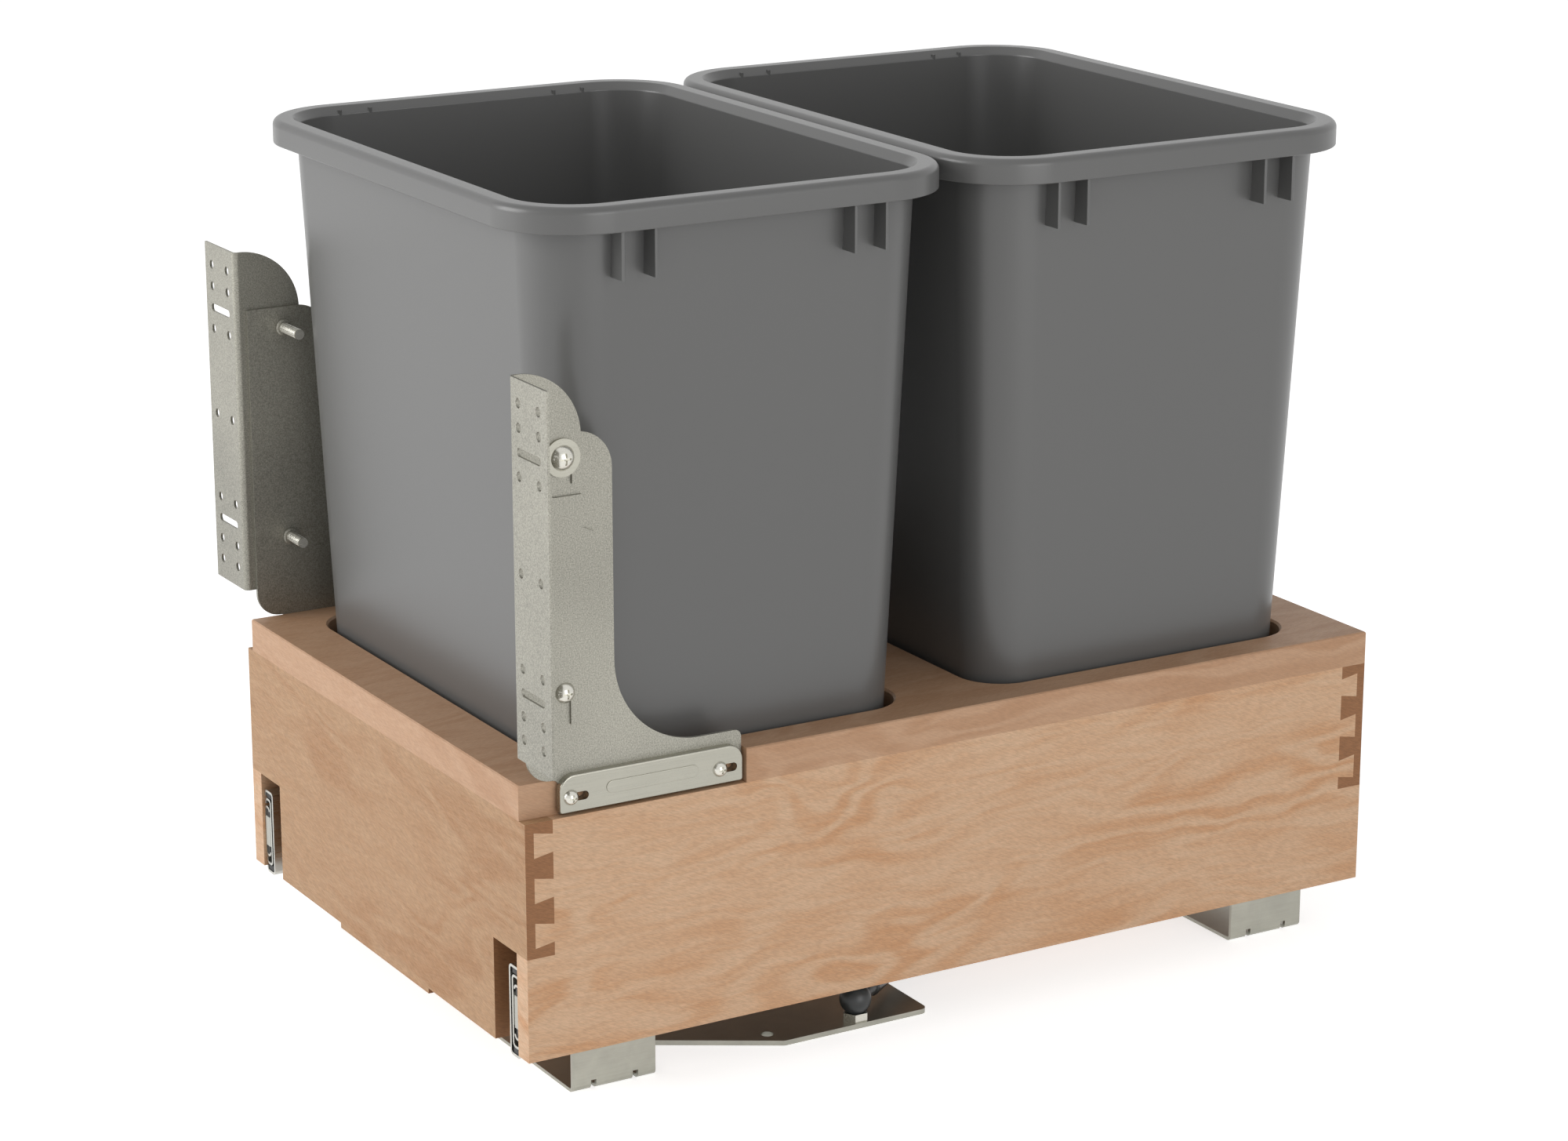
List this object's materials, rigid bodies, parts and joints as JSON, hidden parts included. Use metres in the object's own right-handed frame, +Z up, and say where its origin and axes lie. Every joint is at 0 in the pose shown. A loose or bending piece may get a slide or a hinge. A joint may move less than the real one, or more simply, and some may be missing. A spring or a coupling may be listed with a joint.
{
  "type": "pull out bin frame",
  "caption": "Pull-out waste bin frame: dovetailed wood carrier on ball bearing slides with lift-out bins, floor feet, a gas strut and adjustable brackets for a cabinet door.",
  "frame": {"origin": "centre of the bounding box at the cabinet floor, on the feet's undersides", "axes": "+Z up; -Y towards the door, the way that the frame pulls out; +X to the right as seen from the door"},
  "size_m": [0.4404, 0.5608, 0.4952],
  "materials": {
    "maple": "clear satin lacquer",
    "bin_plastic": "fine matt moulded",
    "slide_steel": "zinc plated",
    "cage_plastic": "moulded",
    "bearing_steel": "polished",
    "zinc_plate": "brushed zinc plate",
    "bracket_steel": "fine metallic satin",
    "satin_nickel": "satin nickel plate",
    "screw_nickel": "bright nickel plate",
    "end_plastic": "moulded",
    "bumper_rubber": "matt",
    "strut_plastic": "moulded",
    "strut_paint": "satin black",
    "rod_chrome": "polished"
  },
  "bodies": {
    "base": {"cabinet_member_left": "slide_steel", "cabinet_member_right": "slide_steel", "foot_front_left": "zinc_plate", "foot_front_right": "zinc_plate", "foot_rear_left": "zinc_plate", "foot_rear_right": "zinc_plate", "foot_rivets": "zinc_plate", "rear_bumpers": "bumper_rubber", "base_plate": "zinc_plate", "ball_stud": "screw_nickel"},
    "frame": {"top_panel": "maple", "front_panel": "maple", "rear_panel": "maple", "bottom_panel": "maple", "side_panel_left": "maple", "side_panel_right": "maple", "drawer_member_left": "slide_steel", "drawer_member_right": "slide_steel", "drawer_member_screws": "screw_nickel", "slide_end_blocks": "end_plastic", "clamp_screws": "screw_nickel", "hanger_stud": "screw_nickel"},
    "bin_front": {"bin_front": "bin_plastic"},
    "bin_rear": {"bin_rear": "bin_plastic"},
    "strut": {"strut_socket": "strut_plastic", "strut_cylinder": "strut_paint"},
    "strut_rod": {"strut_rod": "rod_chrome", "strut_rod_end": "strut_plastic"},
    "middle_left": {"middle_member_left": "slide_steel"},
    "outer_cage_left": {"outer_ball_cage_left": "cage_plastic", "outer_balls_left": "bearing_steel"},
    "inner_cage_left": {"inner_ball_cage_left": "cage_plastic", "inner_balls_left": "bearing_steel"},
    "arm_left": {"door_arm_left": "bracket_steel", "clamp_plate_left": "satin_nickel", "upper_bolt_left": "screw_nickel", "upper_washer_left": "screw_nickel", "lower_bolt_left": "screw_nickel"},
    "door_bracket_left": {"door_bracket_left": "bracket_steel"},
    "middle_right": {"middle_member_right": "slide_steel"},
    "outer_cage_right": {"outer_ball_cage_right": "cage_plastic", "outer_balls_right": "bearing_steel"},
    "inner_cage_right": {"inner_ball_cage_right": "cage_plastic", "inner_balls_right": "bearing_steel"},
    "arm_right": {"door_arm_right": "bracket_steel", "clamp_plate_right": "satin_nickel", "upper_bolt_right": "screw_nickel", "upper_washer_right": "screw_nickel", "lower_bolt_right": "screw_nickel"},
    "door_bracket_right": {"door_bracket_right": "bracket_steel"}
  },
  "joints": [
    {"name": "frame_slide", "type": "slide", "parent": "base", "child": "frame", "axis": [0, -1, 0], "range_m": [0, 0.5]},
    {"name": "bin_front_lift", "type": "slide", "parent": "frame", "child": "bin_front", "axis": [0, 0, 1], "range_m": [0, 0.46]},
    {"name": "bin_rear_lift", "type": "slide", "parent": "frame", "child": "bin_rear", "axis": [0, 0, 1], "range_m": [0, 0.46]},
    {"name": "middle_left_slide", "type": "slide", "parent": "base", "child": "middle_left", "axis": [0, -1, 0], "range_m": [0, 0.25]},
    {"name": "outer_cage_left_slide", "type": "slide", "parent": "base", "child": "outer_cage_left", "axis": [0, -1, 0], "range_m": [0, 0.125]},
    {"name": "inner_cage_left_slide", "type": "slide", "parent": "base", "child": "inner_cage_left", "axis": [0, -1, 0], "range_m": [0, 0.375]},
    {"name": "arm_left_depth", "type": "slide", "parent": "frame", "child": "arm_left", "axis": [0, -1, 0], "range_m": [0, 0.008]},
    {"name": "door_bracket_left_height", "type": "slide", "parent": "arm_left", "child": "door_bracket_left", "axis": [0, 0, 1], "range_m": [-0.0024, 0.0178]},
    {"name": "middle_right_slide", "type": "slide", "parent": "base", "child": "middle_right", "axis": [0, -1, 0], "range_m": [0, 0.25]},
    {"name": "outer_cage_right_slide", "type": "slide", "parent": "base", "child": "outer_cage_right", "axis": [0, -1, 0], "range_m": [0, 0.125]},
    {"name": "inner_cage_right_slide", "type": "slide", "parent": "base", "child": "inner_cage_right", "axis": [0, -1, 0], "range_m": [0, 0.375]},
    {"name": "arm_right_depth", "type": "slide", "parent": "frame", "child": "arm_right", "axis": [0, -1, 0], "range_m": [0, 0.008]},
    {"name": "door_bracket_right_height", "type": "slide", "parent": "arm_right", "child": "door_bracket_right", "axis": [0, 0, 1], "range_m": [-0.0024, 0.0178]},
    {"name": "strut_swing", "type": "hinge", "parent": "base", "child": "strut", "pos_m": [0.151, -0.054, 0.0152], "axis": [0, 0, 1], "range_deg": [0, 108]},
    {"name": "strut_stroke", "type": "slide", "parent": "strut", "child": "strut_rod", "axis": [-0.5878, 0.809, 0], "range_m": [-0.127, 0]}
  ],
  "couplings": [
    {"joint": "middle_left_slide", "follows": "frame_slide", "ratio": 0.5},
    {"joint": "outer_cage_left_slide", "follows": "frame_slide", "ratio": 0.25},
    {"joint": "inner_cage_left_slide", "follows": "frame_slide", "ratio": 0.75},
    {"joint": "middle_right_slide", "follows": "frame_slide", "ratio": 0.5},
    {"joint": "outer_cage_right_slide", "follows": "frame_slide", "ratio": 0.25},
    {"joint": "inner_cage_right_slide", "follows": "frame_slide", "ratio": 0.75},
    {"joint": "strut_swing", "follows": "frame_slide", "rad_per_m": 3.7699}
  ]
}
